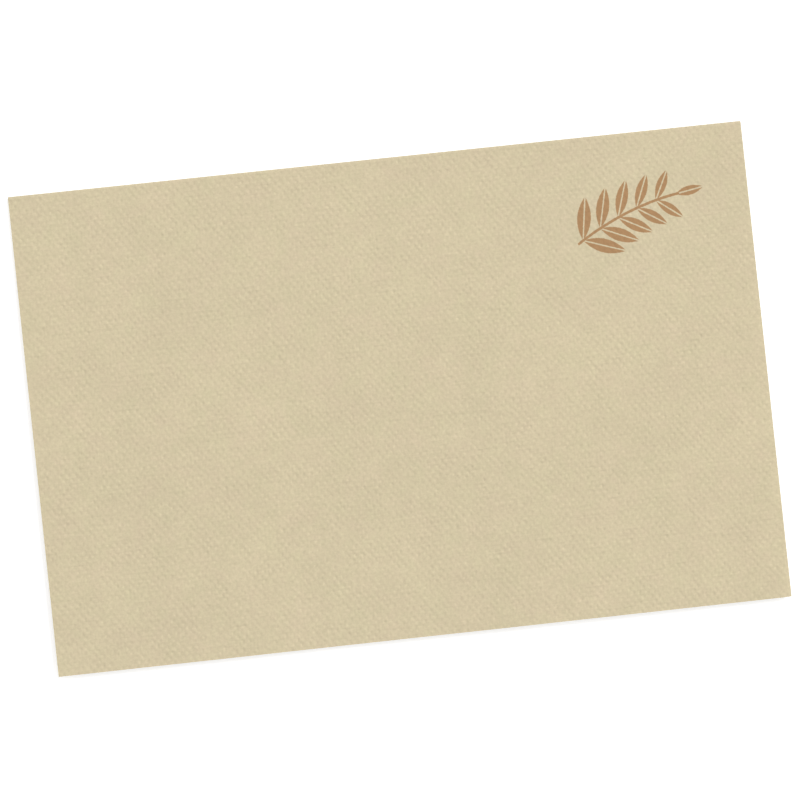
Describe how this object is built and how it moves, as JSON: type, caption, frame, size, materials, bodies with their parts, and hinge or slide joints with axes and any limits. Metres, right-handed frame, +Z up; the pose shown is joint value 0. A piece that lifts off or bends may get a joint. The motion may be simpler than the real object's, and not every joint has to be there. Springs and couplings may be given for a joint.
{
  "type": "paper napkin",
  "caption": "Folded rectangular paper napkin lying flat: one sheet of unbleached, dot-embossed tissue folded in half and then across, for wiping hands and mouth.",
  "frame": {"origin": "on the table, under the middle of the folded napkin", "axes": "+X along the long side, from the free short edge to the hairpin fold; +Y along the short side, from the free long edge to the spine; +Z up from the table"},
  "size_m": [0.165, 0.1075, 0.002],
  "materials": {
    "tissue": "matte"
  },
  "bodies": {
    "root": {"napkin": "tissue"}
  },
  "joints": []
}
